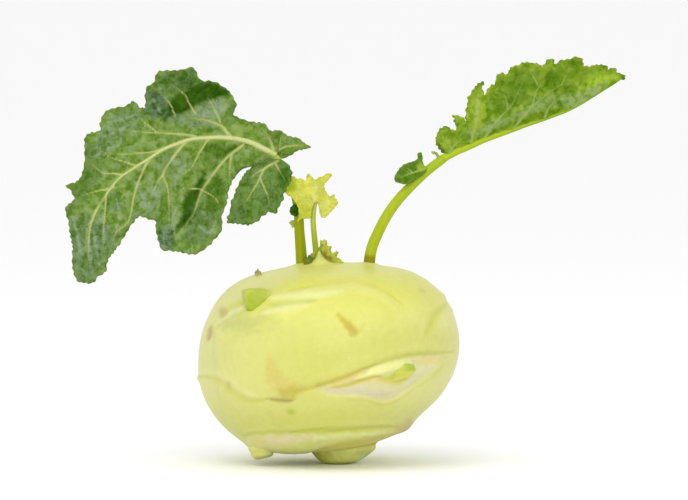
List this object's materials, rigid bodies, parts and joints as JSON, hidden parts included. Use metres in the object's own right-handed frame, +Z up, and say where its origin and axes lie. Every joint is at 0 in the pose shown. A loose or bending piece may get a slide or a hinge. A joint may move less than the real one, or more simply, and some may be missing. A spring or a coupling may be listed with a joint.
{
  "type": "kohlrabi",
  "caption": "Kohlrabi as picked: a pale green flattened round bulb on its cut root, with leaves on arched stalks.",
  "frame": {"origin": "middle of the flat cut under the root stump, where the kohlrabi rests", "axes": "+Z up; +X along the spread of the two big leaves, from the large dark leaf to the folded leaf; +Y to the back"},
  "size_m": [0.1925, 0.0896, 0.1401],
  "materials": {
    "bulb_skin": "satin",
    "root_bark": "matte",
    "stub_flesh": "satin",
    "dry_stub": "matte",
    "left_stalk_skin": "satin",
    "right_stalk_skin": "satin",
    "leaf_dark": "matte",
    "leaf_light": "matte",
    "leaf_pale": "matte",
    "bud_scales": "matte"
  },
  "bodies": {
    "root": {"bulb": "bulb_skin", "root_stump": "root_bark", "upper_stalk_stub": "stub_flesh", "lower_stalk_stub": "bulb_skin", "dry_stalk_stub": "dry_stub", "torn_stalk_rest": "stub_flesh", "left_leaf_stalk": "left_stalk_skin", "left_leaf_blade": "leaf_dark", "left_leaf_lower_lobe": "leaf_dark", "left_leaf_back_lobe": "leaf_dark", "left_stalk_leaflet": "leaf_dark", "young_leaf_stalk": "right_stalk_skin", "young_leaf_blade": "leaf_pale", "growing_tip": "bulb_skin", "heart_bud": "bud_scales", "side_bud": "bud_scales", "right_leaf_stalk": "right_stalk_skin", "right_leaf_blade": "leaf_light", "right_leaf_lobe": "leaf_dark"}
  },
  "joints": []
}
